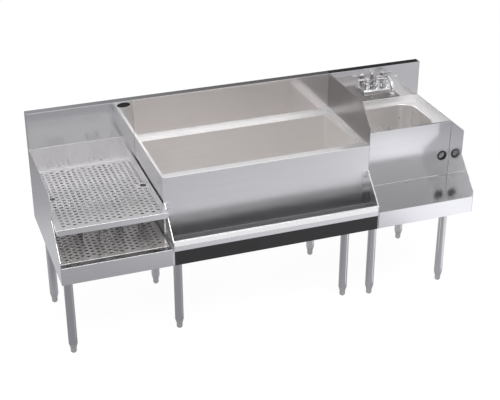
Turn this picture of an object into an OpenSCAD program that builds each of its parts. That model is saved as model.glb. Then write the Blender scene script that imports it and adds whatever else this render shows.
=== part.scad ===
// Underbar unit: drain station, insulated ice bin with bottle rail, and bar sink station.
// X runs to the right, Y to the back and Z up. The origin is on the floor, under the middle.

/* [Overall] */
// Width of the drain station on the left
drain_w = 457.2; // [400:1:560]
// Width of the ice bin station in the middle
bin_w = 914.4; // [700:1:1000]
// Width of the sink station on the right
sink_w = 457.2; // [450:1:600]
// Depth from the aprons to the back
depth = 609.6; // [600:1:680]
// Height of the work rim above the floor
rim_z = 771.5; // [760:0.5:800]
// Height of the backsplash above the work rim
splash_h = 162.5; // [150:0.5:260]
// Depth of the folded backsplash
splash_d = 38.1; // [36:0.1:50]
// Height of the top edge of the aprons above the floor
apron_top_z = 508.6; // [495:0.1:515]
// Height of an apron
apron_h = 76.2; // [60:0.1:90]

/* [Sheet metal] */
// Thickness of the folded sheets
sheet_t = 1.5; // [1:0.1:2]
// Thickness of the side panels
panel_t = 3; // [2:0.1:4]
// Inside radius of a fold
bend_r = 1.5; // [1:0.1:2]
// Gap between a lift-out piece and what it rests on
seat_gap = 0.3; // [0.2:0.05:0.4]
// Width of the turned-in edge under an apron
hem_w = 12; // [8:1:20]
// Height of the turned-down edge behind the backsplash
splash_flange_h = 25.4; // [15:0.1:35]

/* [Side panels] */
// Height of a panel's upright front edge above the apron
lip_rise = 25.4; // [15:0.1:35]
// Depth and height of the sloped front of a panel
slope_run = 127; // [110:1:140]
// Depth of the clipped corner on the left panel
clip_y = 12; // [4:1:16]
// Height of the clipped corner on the left panel
clip_z = 26; // [10:1:30]
// Height of the upright edge of the sink's side splash above the slope
side_splash_rise = 189; // [160:1:200]

/* [Drain station] */
// Width of the ledge behind the drain apron
ledge_w = 33; // [28:0.5:40]
// Depth of the drain pan below the ledge
pan_h = 22; // [16:0.5:30]
// Gap on the left of the trays
tray_left_gap = 1.5; // [1:0.1:3]
// Gap on the right of the trays
tray_right_gap = 5.2; // [3:0.1:8]
// Height of the upper shelf above the ledge
shelf_rise = 153.4; // [120:0.1:180]
// Height of the turned-down edge of the upper shelf
shelf_lip_h = 25; // [15:1:35]
// Length of a drain hole in the trays
perf_w = 15; // [12:0.5:18]
// Width of a drain hole in the trays
perf_d = 9.5; // [8:0.5:11]
// Distance between columns of drain holes
perf_pitch_x = 22.65; // [20:0.05:30]
// Distance between drain holes in a column
perf_pitch_y = 24; // [20:0.05:30]
// Plain border around the drain holes
perf_border = 18; // [12:1:40]
// Diameter of a finger hole in the upper shelf
finger_d = 26; // [20:1:32]
// Distance from a finger hole to the shelf's side
finger_in = 33; // [26:1:45]
// Width of a shelf leg
shelf_leg_w = 74; // [40:1:90]
// Depth of a shelf leg
shelf_leg_d = 38; // [20:1:50]
// Distance from the shelf's left side to its left legs
shelf_leg_in = 130; // [60:1:140]
// Distance from the shelf's right side to its right legs
shelf_leg_right_in = 74; // [60:1:140]
// Distance from the apron to the front shelf legs
shelf_leg_y = 205; // [180:1:215]

/* [Ice bin] */
// Distance from the aprons to the bin's front
bin_front_y = 124; // [110:1:135]
// Width of the bin's front rim
bin_front_rim = 34; // [25:1:45]
// Width of the bin's left rim
bin_left_rim = 10.8; // [9:0.1:20]
// Width of the step at the back of the bin
bin_back_step = 34; // [20:1:45]
// Width of the step on the right of the bin
bin_right_step = 28; // [20:1:45]
// Depth of the steps below the rim
bin_step_drop = 21.5; // [15:0.5:30]
// Depth of the ice well
well_h = 305.5; // [250:0.5:315]
// Thickness of the insulation under the well
foam_floor_t = 17; // [12:1:25]
// Radius of the well's drain pipe
bin_drain_r = 16.7; // [12:0.1:18]

/* [Bottle rail] */
// Height of the black rail trough
trough_h = 63; // [50:1:66]
// Thickness of the trough's walls
trough_t = 2; // [1.5:0.1:3]
// Height of the steel guard above the trough
guard_h = 43; // [30:1:45]
// Lean of the guard's upper half
guard_lean = 5; // [2:0.5:8]
// Width of a rail bracket's flange
bracket_flange_w = 24; // [18:1:30]
// Gap between the brackets and the bin's sides
bracket_in = 3.8; // [1:0.1:6]

/* [Sink] */
// Distance from the sink's front to the bowl
bowl_front_in = 56; // [45:1:70]
// Width of the rim along the sink's front
sink_rim_w = 11; // [8:1:16]
// Depth of the deck below the rim
deck_drop = 30.5; // [20:0.5:40]
// Width of the bowl
bowl_w = 366; // [340:1:380]
// Depth of the bowl from front to back
bowl_d = 265; // [240:1:275]
// Depth of the bowl below the deck
bowl_h = 241; // [200:1:260]
// Distance from the backsplash to the bowl
bowl_back_in = 16.5; // [12:0.5:30]
// Radius of the bowl's upright corners
bowl_corner_r = 70; // [50:1:80]
// Radius of the bowl's floor edge
bowl_floor_r = 25; // [15:1:35]
// Radius of the bowl's rolled top edge
bowl_lip_r = 6; // [4:0.5:8]
// Outside diameter of the cord grommet
grommet_d = 46.7; // [42:0.1:56]
// Inside diameter of the cord grommet
grommet_bore_d = 32; // [25:0.5:34]
// Distance from the right panel to the grommet's centre
grommet_in = 35; // [32:0.5:60]
// Height of the grommet's centre above the apron
grommet_rise = 100.4; // [60:0.1:140]

/* [Faucet] */
// Distance between the two inlets
inlet_pitch = 101.6; // [96:0.1:106]
// Height of the flat top of the faucet body above the rim
faucet_rise = 71.5; // [60:0.5:90]
// Height of the faucet body
faucet_body_h = 24; // [24:0.5:28]
// Reach of the valves in front of the backsplash
valve_reach = 25; // [20:0.5:40]
// Reach of the spout from its post
spout_reach = 155; // [130:1:200]
// Radius of the spout's tube
spout_r = 7.5; // [6:0.1:8]
// Length of a lever from its stem
lever_len = 51; // [45:1:70]

/* [Legs] */
// Outside diameter of a leg
leg_d = 38.1; // [34:0.1:42]
// Wall of a leg
leg_wall = 1.5; // [1.2:0.1:2]
// Diameter of a foot
foot_d = 26; // [22:0.5:29]
// Height of a foot below its tapered plug
foot_h = 27.4; // [20:0.1:40]
// Travel of a foot's thread
foot_travel = 25; // [10:1:30]
// Distance from the end panels to the outer legs
leg_in = 49; // [40:1:90]
// Distance from the bin's sides to its legs
bin_leg_in = 68; // [45:1:120]
// Distance from the sink's side splash to the sink's inner leg
sink_leg_in = 53.5; // [45:1:90]
// Distance from the aprons to the outer front legs
leg_front_y = 159; // [100:1:190]
// Distance from the aprons to the bin's front legs
bin_leg_front_y = 186; // [165:1:220]
// Distance from the back to the back legs
leg_back_in = 34.6; // [34:0.1:80]

/* [Hidden] */
$fn = 64;

// Finish colours
steel = [0.70, 0.70, 0.71];
bright_steel = [0.80, 0.80, 0.81];
dull_steel = [0.55, 0.55, 0.56];
chrome = [0.86, 0.86, 0.88];
black_plastic = [0.06, 0.06, 0.065];
foam_yellow = [0.86, 0.78, 0.52];
nylon_grey = [0.50, 0.51, 0.52];

// Steps in the arc of a fold
fold_steps = 5;
// Overrun of every cut
over = 1;

// Places of the three stations
run_w = drain_w + bin_w + sink_w;
bin_x = drain_w;
sink_x = drain_w + bin_w;
splash_y = depth - splash_d;
sink_front_y = splash_y - bowl_back_in - bowl_d - bowl_front_in;
splash_top_z = rim_z + splash_h;
apron_base_z = apron_top_z - apron_h;
lip_z = apron_top_z + lip_rise;
slope_top_z = lip_z + slope_run;

// Moves the drawing, made from the left front corner, so that the origin is under its middle
module placed() { translate([-run_w / 2, -depth / 2, 0]) children(); }

// Draws a (y, z) outline along X from x0 to x1
module along_x(x0, x1) { translate([x0, 0, 0]) rotate([90, 0, 90]) linear_extrude(x1 - x0) children(); }

// Draws an (x, z) outline along Y from y0 to y1
module along_y(y0, y1) { translate([0, y1, 0]) rotate([90, 0, 0]) linear_extrude(y1 - y0) children(); }

// A block between two corners
module block(low, high) { translate(low) cube(high - low); }

// A round bar along Y from y0 to y1
module bar_y(x, z, y0, y1, r) { translate([x, y1, z]) rotate([90, 0, 0]) cylinder(r = r, h = y1 - y0); }

// A round bar along Z from z0 to z1
module bar_z(x, y, z0, z1, r) { translate([x, y, z0]) cylinder(r = r, h = z1 - z0); }

function unit(v) = v / norm(v);
function right_of(v) = [v[1], -v[0]];
function turn(a, b) = a[0] * b[1] - a[1] * b[0];

// The path moved by t to the right, with mitred corners
function moved(p, t) = [for (i = [0 : len(p) - 1])
    let (a = unit(i == 0 ? p[1] - p[0] : p[i] - p[i - 1]))
    let (b = unit(i == len(p) - 1 ? p[i] - p[i - 1] : p[i + 1] - p[i]))
    p[i] + t * (right_of(a) + right_of(b)) / (1 + a * b)];

// The arc of radius r that rounds the corner b between a and c
function corner_arc(a, b, c, r) =
    let (u = unit(a - b), v = unit(c - b), half = acos(u * v) / 2)
    let (m = b + unit(u + v) * r / sin(half), from = b + u * r / tan(half) - m, sweep = 180 - 2 * half)
    let (way = turn(b - a, c - b) > 0 ? 1 : -1)
    [for (i = [0 : fold_steps])
        let (s = way * sweep * i / fold_steps)
        m + [from[0] * cos(s) - from[1] * sin(s), from[0] * sin(s) + from[1] * cos(s)]];

// The path with its inner corners rounded: tight on the side that a corner turns to
function rounded(p, tight_left, wide_left) = [for (i = [0 : len(p) - 1])
    for (q = i == 0 || i == len(p) - 1 ? [p[i]]
        : corner_arc(p[i - 1], p[i], p[i + 1],
            turn(p[i] - p[i - 1], p[i + 1] - p[i]) > 0 ? tight_left : wide_left)) q];

function reversed(p) = [for (i = [len(p) - 1 : -1 : 0]) p[i]];

// A folded sheet in section: the path is its good side, and the metal lies to the right of it
module folded(path, t = sheet_t) {
    polygon(concat(
        rounded(path, bend_r + t, bend_r),
        reversed(rounded(moved(path, t), bend_r, bend_r + t))));
}

// Left, right and middle side panels

// The stepped outline that all side panels share, up to the height of the rim
function panel_front(top) = [
    [0, apron_base_z], [0, lip_z], [slope_run, slope_top_z], [slope_run, top]];
splash_back = [[splash_y, rim_z], [splash_y, splash_top_z], [depth, splash_top_z], [depth, apron_base_z]];

module left_end_panel() placed() color(steel) along_x(0, panel_t)
    polygon(concat(panel_front(rim_z - clip_z), [[slope_run + clip_y, rim_z]], splash_back));

module right_end_panel() placed() color(steel) along_x(run_w - panel_t, run_w)
    polygon(concat(panel_front(rim_z), splash_back));

// The side splash reaches the backsplash and keeps ice and splashes apart
side_splash_top_z = splash_top_z - (slope_top_z + side_splash_rise);
module sink_side_splash() placed() color(steel) along_x(sink_x, sink_x + panel_t)
    polygon(concat(panel_front(splash_top_z - side_splash_top_z),
        [[slope_run + side_splash_top_z, splash_top_z], [splash_y, splash_top_z], [splash_y, apron_base_z]]));

// Backsplash and walls

// The backsplash is one folded channel: front face, top and a short flange at the back
module splash_section() {
    folded([[splash_y, rim_z], [splash_y, splash_top_z], [depth, splash_top_z],
        [depth, splash_top_z - splash_flange_h]]);
}

module backsplash_left() placed() color(steel) along_x(panel_t, drain_w) splash_section();

module backsplash_center() placed() color(steel) along_x(bin_x, sink_x) splash_section();

module backsplash_right() placed() color(steel) difference() {
    along_x(sink_x, run_w - panel_t) splash_section();
    for (x = inlet_x) bar_y(x, inlet_z, splash_y - over, splash_y + sheet_t + over, inlet_hole_r);
}

pan_z = apron_top_z - pan_h;
module drain_back_wall() placed() color(steel)
    block([panel_t, splash_y, pan_z - sheet_t], [drain_w, splash_y + sheet_t, rim_z]);

// Drain station

pan_drain_r = 19.05;
pan_drain_flange_r = 38;
pan_drain_len = 62;
pan_drain_wall = 2;
drain_clear = 0.2;
pan_drain_hole_r = pan_drain_r + drain_clear;
pan_drain_x = drain_w / 2;
pan_drain_y = (ledge_w + splash_y) / 2;

module drain_pan() placed() color(steel) difference() {
    union() {
        along_x(panel_t, drain_w - sheet_t)
            folded([[hem_w, apron_base_z], [0, apron_base_z], [0, apron_top_z], [ledge_w, apron_top_z],
                [ledge_w, pan_z], [splash_y, pan_z]]);
        block([drain_w - sheet_t, 0, pan_z - sheet_t], [drain_w, splash_y, apron_top_z]);
    }
    bar_z(pan_drain_x, pan_drain_y, pan_z - sheet_t - over, pan_z + over, pan_drain_hole_r);
}

// Free end of a fitting, and the groove that parts it from the thread
free_end = 25;
groove_w = 3;
groove_deep = 0.8;

// A drain fitting: flange on top, threaded sleeve through the sheet, and a pipe end below
module drain_fitting(r, wall, flange_r, len) {
    difference() {
        union() {
            cylinder(r = flange_r, h = sheet_t);
            translate([0, 0, free_end + groove_w - len]) cylinder(r = r, h = len - free_end - groove_w);
            translate([0, 0, free_end - len]) cylinder(r = r - groove_deep, h = groove_w);
            translate([0, 0, -len]) cylinder(r = r, h = free_end);
        }
        translate([0, 0, -len - over]) cylinder(r = r - wall, h = len + sheet_t + 2 * over);
    }
}

module pan_drain() placed() color(dull_steel) translate([pan_drain_x, pan_drain_y, pan_z])
    drain_fitting(pan_drain_r, pan_drain_wall, pan_drain_flange_r, pan_drain_len);

// Trays: a perforated sheet in a folded rim

tray_x0 = panel_t + tray_left_gap;
tray_x1 = drain_w - tray_right_gap;
tray_back_y = splash_y - seat_gap;
tray_bend = bend_r + sheet_t;

// A drain hole is a short slot with round ends
module drain_slot() {
    ends_in = (perf_w - perf_d) / 2;
    square([2 * ends_in, perf_d], center = true);
    for (side = [-1, 1]) translate([side * ends_in, 0]) circle(d = perf_d, $fn = 24);
}

function hole_rows(span, hole, pitch) = floor((span - 2 * perf_border - hole) / pitch);

// Drain holes in staggered columns, centred in the sheet and clear of the finger holes
module drain_holes(y0, y1, keep_clear) {
    cols = hole_rows(tray_x1 - tray_x0, perf_w, perf_pitch_x);
    rows = hole_rows(y1 - y0, perf_d, perf_pitch_y);
    mid = [(tray_x0 + tray_x1) / 2, (y0 + y1) / 2];
    for (c = [0 : cols], r = [0 : rows - c % 2]) {
        p = mid + [(c - cols / 2) * perf_pitch_x, (r - (rows - c % 2) / 2) * perf_pitch_y];
        if (len([for (q = keep_clear) if (norm(p - q) < (finger_d + perf_w) / 2 + sheet_t) q]) == 0)
            translate(p) drain_slot();
    }
}

// A flat sheet with its top at z, between the folds of its rim
module tray_sheet(y0, z, fingers) {
    translate([0, 0, z - sheet_t]) linear_extrude(sheet_t) difference() {
        translate([tray_x0, y0 + tray_bend]) square([tray_x1 - tray_x0, tray_back_y - y0 - 2 * tray_bend]);
        drain_holes(y0, tray_back_y, fingers);
        for (p = fingers) translate(p) circle(d = finger_d);
    }
}

// The rim below the sheet: folded front and back, plain plates at the sides
module tray_frame(y0, z, h, front_h) {
    along_x(tray_x0, tray_x1) folded([[y0, z - front_h], [y0, z], [y0 + tray_bend, z]]);
    along_x(tray_x0, tray_x1)
        folded([[tray_back_y - tray_bend, z], [tray_back_y, z], [tray_back_y, z - h]]);
    for (x = [tray_x0, tray_x1 - sheet_t])
        block([x, y0 + sheet_t, z - h], [x + sheet_t, tray_back_y - sheet_t, z - sheet_t]);
}

insert_y0 = ledge_w + seat_gap;
insert_skirt_h = pan_h - seat_gap;
insert_front_h = insert_skirt_h - bend_r;
module lower_insert_sheet() placed() color(steel) tray_sheet(insert_y0, apron_top_z, []);
module lower_insert_frame() placed() color(steel) tray_frame(insert_y0, apron_top_z, insert_skirt_h, insert_front_h);

shelf_y0 = ledge_w - seat_gap;
shelf_z = apron_top_z + shelf_rise;
shelf_mid_y = (shelf_y0 + tray_back_y) / 2;
finger_places = [[tray_x0 + finger_in, shelf_mid_y], [tray_x1 - finger_in, shelf_mid_y]];
module upper_shelf_sheet() placed() color(steel) tray_sheet(shelf_y0, shelf_z, finger_places);
module upper_shelf_frame() placed() color(steel) tray_frame(shelf_y0, shelf_z, shelf_lip_h, shelf_lip_h);

// Four channel legs, open to the front in front and to the back behind
module shelf_leg() {
    difference() {
        cube([shelf_leg_w, shelf_leg_d, shelf_z - sheet_t - apron_top_z - seat_gap]);
        translate([sheet_t, -over, -over])
            cube([shelf_leg_w - 2 * sheet_t, shelf_leg_d - sheet_t + over, shelf_rise + over]);
    }
}

module shelf_legs() placed() color(dull_steel) {
    for (x = [tray_x0 + shelf_leg_in, tray_x1 - shelf_leg_right_in - shelf_leg_w], back = [0, 1])
        translate([x, shelf_mid_y, apron_top_z + seat_gap]) mirror([0, back, 0])
            translate([0, shelf_leg_y - shelf_mid_y, 0]) shelf_leg();
}

// Ice bin

bin_x1 = sink_x;
well_x0 = bin_x + bin_left_rim;
well_x1 = bin_x1 - sheet_t - bin_right_step;
well_y0 = bin_front_y + bin_front_rim;
well_y1 = splash_y - bin_back_step;
well_z = rim_z - well_h;
step_z = rim_z - bin_step_drop;
bin_base_z = well_z - sheet_t - foam_floor_t - sheet_t;
well_mid = [(well_x0 + well_x1) / 2, (well_y0 + well_y1) / 2];

// The outer shell and its rims: the front sheet and the left sheet fold over the top
module bin_shell() placed() color(steel) difference() {
    union() {
        along_x(bin_x, bin_x1)
            folded([[bin_front_y, bin_base_z], [bin_front_y, rim_z], [well_y0, rim_z]]);
        along_y(bin_front_y, splash_y)
            folded([[bin_x, bin_base_z], [bin_x, rim_z], [well_x0, rim_z]]);
        block([bin_x1 - sheet_t, bin_front_y, bin_base_z], [bin_x1, splash_y, rim_z]);
        block([bin_x, splash_y, bin_base_z], [bin_x1, splash_y + sheet_t, rim_z]);
        block([bin_x, bin_front_y, bin_base_z], [bin_x1, splash_y, bin_base_z + sheet_t]);
    }
    bar_z(well_mid[0], well_mid[1], bin_base_z - over, bin_base_z + sheet_t + over, bin_drain_hole_r);
}

// The welded well with its steps at the back and on the right
rim_under_z = rim_z - sheet_t;
module bin_liner() placed() color(bright_steel) difference() {
    union() {
        block([well_x0 - sheet_t, well_y0 - sheet_t, well_z - sheet_t],
            [well_x1 + sheet_t, well_y1 + sheet_t, step_z]);
        block([well_x0 - sheet_t, well_y0 - sheet_t, step_z - sheet_t],
            [bin_x1 - sheet_t, splash_y, rim_under_z]);
    }
    block([well_x0, well_y0, well_z], [well_x1, well_y1, rim_z + over]);
    block([well_x0, well_y0, step_z], [bin_x1, splash_y + over, rim_z + over]);
    bar_z(well_mid[0], well_mid[1], well_z - sheet_t - over, well_z + over, bin_drain_hole_r);
}

// Foam between the shell and the well, kept clear of the folds
module bin_insulation() placed() color(foam_yellow) difference() {
    block([bin_x + sheet_t, bin_front_y + sheet_t, bin_base_z + sheet_t],
        [bin_x1 - sheet_t, splash_y, step_z - sheet_t]);
    block([well_x0 - sheet_t, well_y0 - sheet_t, well_z - sheet_t],
        [well_x1 + sheet_t, well_y1 + sheet_t, rim_z]);
    bar_z(well_mid[0], well_mid[1], bin_base_z, well_z, bin_drain_hole_r);
}

bin_drain_wall = 3;
bin_drain_flange_r = 35;
bin_drain_len = 75;
bin_drain_hole_r = bin_drain_r + drain_clear;
module bin_drain() placed() color(dull_steel) translate([well_mid[0], well_mid[1], well_z])
    drain_fitting(bin_drain_r, bin_drain_wall, bin_drain_flange_r, bin_drain_len);

// Hexagon nuts under the pan and under the bin
nut_h = 8;
nut_wall = 7;
module drain_nut(r, z) {
    translate([0, 0, z - nut_h]) difference() {
        cylinder(r = r + nut_wall, h = nut_h, $fn = 6);
        translate([0, 0, -over]) cylinder(r = r + drain_clear, h = nut_h + 2 * over);
    }
}

module drain_nuts() placed() color(dull_steel) {
    translate([pan_drain_x, pan_drain_y, 0]) drain_nut(pan_drain_r, pan_z - sheet_t);
    translate([well_mid[0], well_mid[1], 0]) drain_nut(bin_drain_r, bin_base_z);
}

// A domed screw head on the bin's left side
side_screw_in = 50.5;
side_screw_drop = 51;
module bin_side_screw() placed() color(bright_steel)
    translate([bin_x, bin_front_y + side_screw_in, rim_z - side_screw_drop]) rotate([0, -90, 0]) screw_head();

// A pan head with a driver recess
screw_r = 5;
screw_h = 2.4;
screw_dome_r = 8;
screw_slot_w = 1;
module screw_head() {
    difference() {
        intersection() {
            cylinder(r = screw_r, h = screw_h);
            translate([0, 0, screw_h - screw_dome_r]) sphere(r = screw_dome_r);
        }
        for (a = [0, 90]) rotate([0, 0, a])
            translate([-screw_r / 2, -screw_slot_w / 2, screw_h / 2]) cube([screw_r, screw_slot_w, screw_h]);
    }
}

// Bottle rail on the bin's front

rail_x0 = bin_x + bracket_in;
rail_x1 = bin_x1 - seat_gap;
trough_top_z = apron_base_z + trough_h;
guard_top_z = trough_top_z + guard_h;
bracket_top_z = slope_top_z - panel_t;
bracket_y1 = bin_front_y - sheet_t;
rail_in_x0 = rail_x0 + panel_t;
rail_in_x1 = rail_x1 - panel_t;

// The black trough: a channel of one moulding, open at the top
module rail_trough() placed() color(black_plastic) along_x(rail_in_x0, rail_in_x1)
    difference() {
        translate([0, apron_base_z]) square([bracket_y1, trough_h]);
        translate([trough_t, apron_base_z + trough_t])
            square([bracket_y1 - 2 * trough_t, trough_h]);
    }

// The steel guard stands on the trough's front edge and leans back at the top
guard_break_share = 0.53;
guard_break_z = trough_top_z + guard_h * guard_break_share;
guard_back_w = 10;
guard_back_h = 14;
module rail_guard() placed() color(bright_steel) along_x(rail_in_x0, rail_in_x1)
    folded([[guard_back_w, trough_top_z], [0, trough_top_z], [0, guard_break_z], [guard_lean, guard_top_z],
        [guard_lean + guard_back_w, guard_top_z], [guard_lean + guard_back_w, guard_top_z - guard_back_h]]);

// A bracket is a side plate with a flange screwed to the bin's front
module bracket_plate() {
    polygon([[0, apron_base_z], [0, guard_top_z], [bracket_y1 - (bracket_top_z - guard_top_z), guard_top_z],
        [bracket_y1, bracket_top_z], [bracket_y1, apron_base_z]]);
}

flange_screw_rise = 97.5;
flange_screw_z = lip_z + flange_screw_rise;
module rail_left_bracket() placed() color(steel) {
    along_x(rail_x0, rail_in_x0) bracket_plate();
    block([bin_x + seat_gap, bracket_y1, apron_base_z],
        [rail_x0 + bracket_flange_w, bin_front_y, bracket_top_z]);
}

module rail_right_bracket() placed() color(steel) {
    along_x(rail_in_x1, rail_x1) bracket_plate();
    block([rail_x1 - bracket_flange_w, bracket_y1, apron_base_z], [rail_x1, bin_front_y, bracket_top_z]);
}

module rail_screws() placed() color(bright_steel)
    for (x = [rail_in_x0 + bracket_flange_w / 2 - panel_t / 2, rail_x1 - bracket_flange_w / 2 - panel_t / 2])
        translate([x, bracket_y1, flange_screw_z]) rotate([90, 0, 0]) screw_head();

// Sink station

deck_x0 = sink_x + panel_t;
deck_x1 = run_w - panel_t;
deck_z = rim_z - deck_drop;
bowl_mid = [(deck_x0 + deck_x1) / 2, splash_y - bowl_back_in - bowl_d / 2];
deck_y0 = sink_front_y + sink_rim_w;

module blender_shelf() placed() color(steel) along_x(deck_x0, deck_x1)
    folded([[hem_w, apron_base_z], [0, apron_base_z], [0, apron_top_z],
        [sink_front_y + sheet_t, apron_top_z]]);

grommet_x = deck_x1 - grommet_in;
grommet_z = apron_top_z + grommet_rise;
grommet_body_d = 38;
grommet_flange_t = 3;
grommet_depth = 12;
module sink_front_panel() placed() color(steel) difference() {
    along_x(deck_x0, deck_x1)
        folded([[sink_front_y, apron_top_z], [sink_front_y, rim_z], [deck_y0, rim_z]]);
    bar_y(grommet_x, grommet_z, sink_front_y - over, sink_front_y + sheet_t + over, grommet_body_d / 2);
}

// A rectangle with round corners, grown by g on every side
module bowl_outline(g) {
    r = bowl_corner_r + g;
    w = bowl_w + 2 * g;
    d = bowl_d + 2 * g;
    square([w - 2 * r, d], center = true);
    square([w, d - 2 * r], center = true);
    for (x = [-1, 1], y = [-1, 1]) translate([x * (w / 2 - r), y * (d / 2 - r)]) circle(r = r);
}

// The deck is a tray around the bowl's opening, with an upturned edge on every side
module sink_deck() placed() color(bright_steel) difference() {
    block([deck_x0, deck_y0 - sheet_t, deck_z - sheet_t], [deck_x1, splash_y + sheet_t, rim_z - sheet_t]);
    block([deck_x0 + sheet_t, deck_y0, deck_z], [deck_x1 - sheet_t, splash_y, rim_z]);
    translate([bowl_mid[0], bowl_mid[1], deck_z - sheet_t - over]) linear_extrude(2 * sheet_t + 2 * over)
        bowl_outline(bowl_lip_r);
}

// The bowl's form: upright walls on a floor with a round edge
module bowl_form(g, top) {
    r = bowl_corner_r + g;
    x = bowl_w / 2 - bowl_corner_r;
    y = bowl_d / 2 - bowl_corner_r;
    hull() for (sx = [-1, 1], sy = [-1, 1]) translate([sx * x, sy * y, 0]) {
        translate([0, 0, top - over]) cylinder(r = r, h = over, $fn = 48);
        translate([0, 0, -bowl_h + bowl_floor_r])
            rotate_extrude($fn = 48) translate([r - bowl_floor_r - g, 0])
                circle(r = bowl_floor_r + g, $fn = 32);
    }
}

// The rolled edge in section, from the wall up and out to the deck
module lip_section() {
    intersection() {
        difference() {
            translate([bowl_lip_r, 0]) circle(r = bowl_lip_r);
            translate([bowl_lip_r, 0]) circle(r = bowl_lip_r - sheet_t);
        }
        square(bowl_lip_r);
    }
}

module bowl_lip() {
    x = bowl_w / 2;
    y = bowl_d / 2;
    r = bowl_corner_r;
    for (a = [0, 180]) rotate([0, 0, a]) {
        translate([x, y - r, 0]) rotate([90, 0, 0]) linear_extrude(2 * (y - r)) lip_section();
        rotate([0, 0, 90]) translate([y, x - r, 0]) rotate([90, 0, 0])
            linear_extrude(2 * (x - r)) lip_section();
        translate([x - r, y - r, 0]) rotate_extrude(angle = 90) translate([r, 0]) lip_section();
        translate([r - x, y - r, 0]) rotate([0, 0, 90]) rotate_extrude(angle = 90)
            translate([r, 0]) lip_section();
    }
}

strainer_body_r = 43;
strainer_hole_r = strainer_body_r + drain_clear;
module sink_bowl() placed() color(bright_steel) translate([bowl_mid[0], bowl_mid[1], deck_z]) {
    difference() {
        bowl_form(sheet_t, -bowl_lip_r);
        bowl_form(0, over - bowl_lip_r);
        translate([0, 0, -bowl_h - sheet_t - over]) cylinder(r = strainer_hole_r, h = sheet_t + 2 * over);
    }
    translate([0, 0, -bowl_lip_r]) bowl_lip();
}

// The rubber ring that lines the cord hole
module cord_grommet() placed() color(black_plastic)
    translate([grommet_x, sink_front_y - grommet_flange_t, grommet_z]) rotate([-90, 0, 0]) rotate_extrude()
        difference() {
            union() {
                translate([grommet_bore_d / 2, 0]) square([(grommet_d - grommet_bore_d) / 2, grommet_flange_t]);
                translate([grommet_bore_d / 2, 0])
                    square([(grommet_body_d - grommet_bore_d) / 2, grommet_depth]);
            }
            translate([grommet_d / 2, 0]) rotate([0, 0, 45]) square(grommet_flange_t / 2, center = true);
        }

// Sink drain: cup with a flange, nut below the bowl, lift-out basket and tailpiece
bowl_floor_z = deck_z - bowl_h;
strainer_flange_r = 56;
strainer_wall = 2;
strainer_h = 46;
outlet_r = 23;
outlet_wall = 1.5;
outlet_len = 22;
lock_nut_wall = 11;
lock_nut_h = 12;
basket_clear = 1.2;
basket_h = 30;
basket_wall = 1.2;
basket_knob_r = 6;
basket_knob_h = 16;
basket_slot_w = 3;
basket_slots = 12;

module sink_drain_body() placed() color(bright_steel) translate([bowl_mid[0], bowl_mid[1], bowl_floor_z])
    rotate_extrude() union() {
        translate([strainer_body_r - strainer_wall, 0])
            square([strainer_flange_r - strainer_body_r + strainer_wall, sheet_t]);
        translate([strainer_body_r - strainer_wall, -strainer_h]) square([strainer_wall, strainer_h]);
        translate([outlet_r - outlet_wall, -strainer_h])
            square([strainer_body_r - outlet_r + outlet_wall, strainer_wall]);
        translate([outlet_r - outlet_wall, -strainer_h - outlet_len]) square([outlet_wall, outlet_len]);
    }

module sink_lock_nut() placed() color(dull_steel)
    translate([bowl_mid[0], bowl_mid[1], bowl_floor_z - sheet_t - lock_nut_h]) difference() {
        cylinder(r = strainer_body_r + lock_nut_wall, h = lock_nut_h);
        translate([0, 0, -over]) cylinder(r = strainer_body_r + drain_clear, h = lock_nut_h + 2 * over);
        for (a = [0 : 60 : 300]) rotate([0, 0, a])
            translate([strainer_body_r + lock_nut_wall / 2, -lock_nut_wall / 2, -over])
                cube([lock_nut_wall, lock_nut_wall, lock_nut_h + 2 * over]);
    }

module strainer_basket() placed() color(bright_steel)
    translate([bowl_mid[0], bowl_mid[1], bowl_floor_z + sheet_t + seat_gap]) {
        r = strainer_body_r - strainer_wall - basket_clear;
        difference() {
            union() {
                translate([0, 0, -basket_h]) cylinder(r = r, h = basket_h);
                cylinder(r = r + basket_clear + strainer_wall + basket_clear, h = basket_wall);
            }
            translate([0, 0, basket_wall - basket_h]) cylinder(r = r - basket_wall, h = basket_h + over);
            for (i = [0 : basket_slots - 1]) rotate([0, 0, 360 * i / basket_slots])
                translate([r / 3, -basket_slot_w / 2, -basket_h - over])
                    cube([r / 2, basket_slot_w, basket_wall + 2 * over]);
        }
        translate([0, 0, basket_wall - basket_h]) cylinder(r = basket_knob_r / 2, h = basket_h - basket_knob_r);
        translate([0, 0, -basket_knob_r]) rotate_extrude() {
            square([basket_knob_r, basket_knob_h / 2]);
            intersection() {
                translate([0, basket_knob_h / 2]) circle(r = basket_knob_r);
                square([basket_knob_r, basket_knob_h]);
            }
        }
    }

tailpiece_r = 19.05;
tailpiece_len = 110;
tailpiece_collar_h = 18;
tailpiece_collar_wall = 5;
tailpiece_bare_len = tailpiece_len - tailpiece_collar_h / 2 - groove_w;
module sink_tailpiece() placed() color(chrome)
    translate([bowl_mid[0], bowl_mid[1], bowl_floor_z - strainer_h - outlet_len - tailpiece_len]) difference() {
        union() {
            cylinder(r = tailpiece_r, h = tailpiece_bare_len);
            cylinder(r = tailpiece_r - groove_deep, h = tailpiece_len);
            translate([0, 0, tailpiece_len - tailpiece_collar_h / 2])
                cylinder(r = outlet_r + tailpiece_collar_wall, h = tailpiece_collar_h, $fn = 6);
        }
        translate([0, 0, -over]) cylinder(r = tailpiece_r - strainer_wall, h = tailpiece_len + 2 * over);
        translate([0, 0, tailpiece_len]) cylinder(r = outlet_r + drain_clear, h = tailpiece_collar_h);
    }

// Faucet on the backsplash

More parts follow.
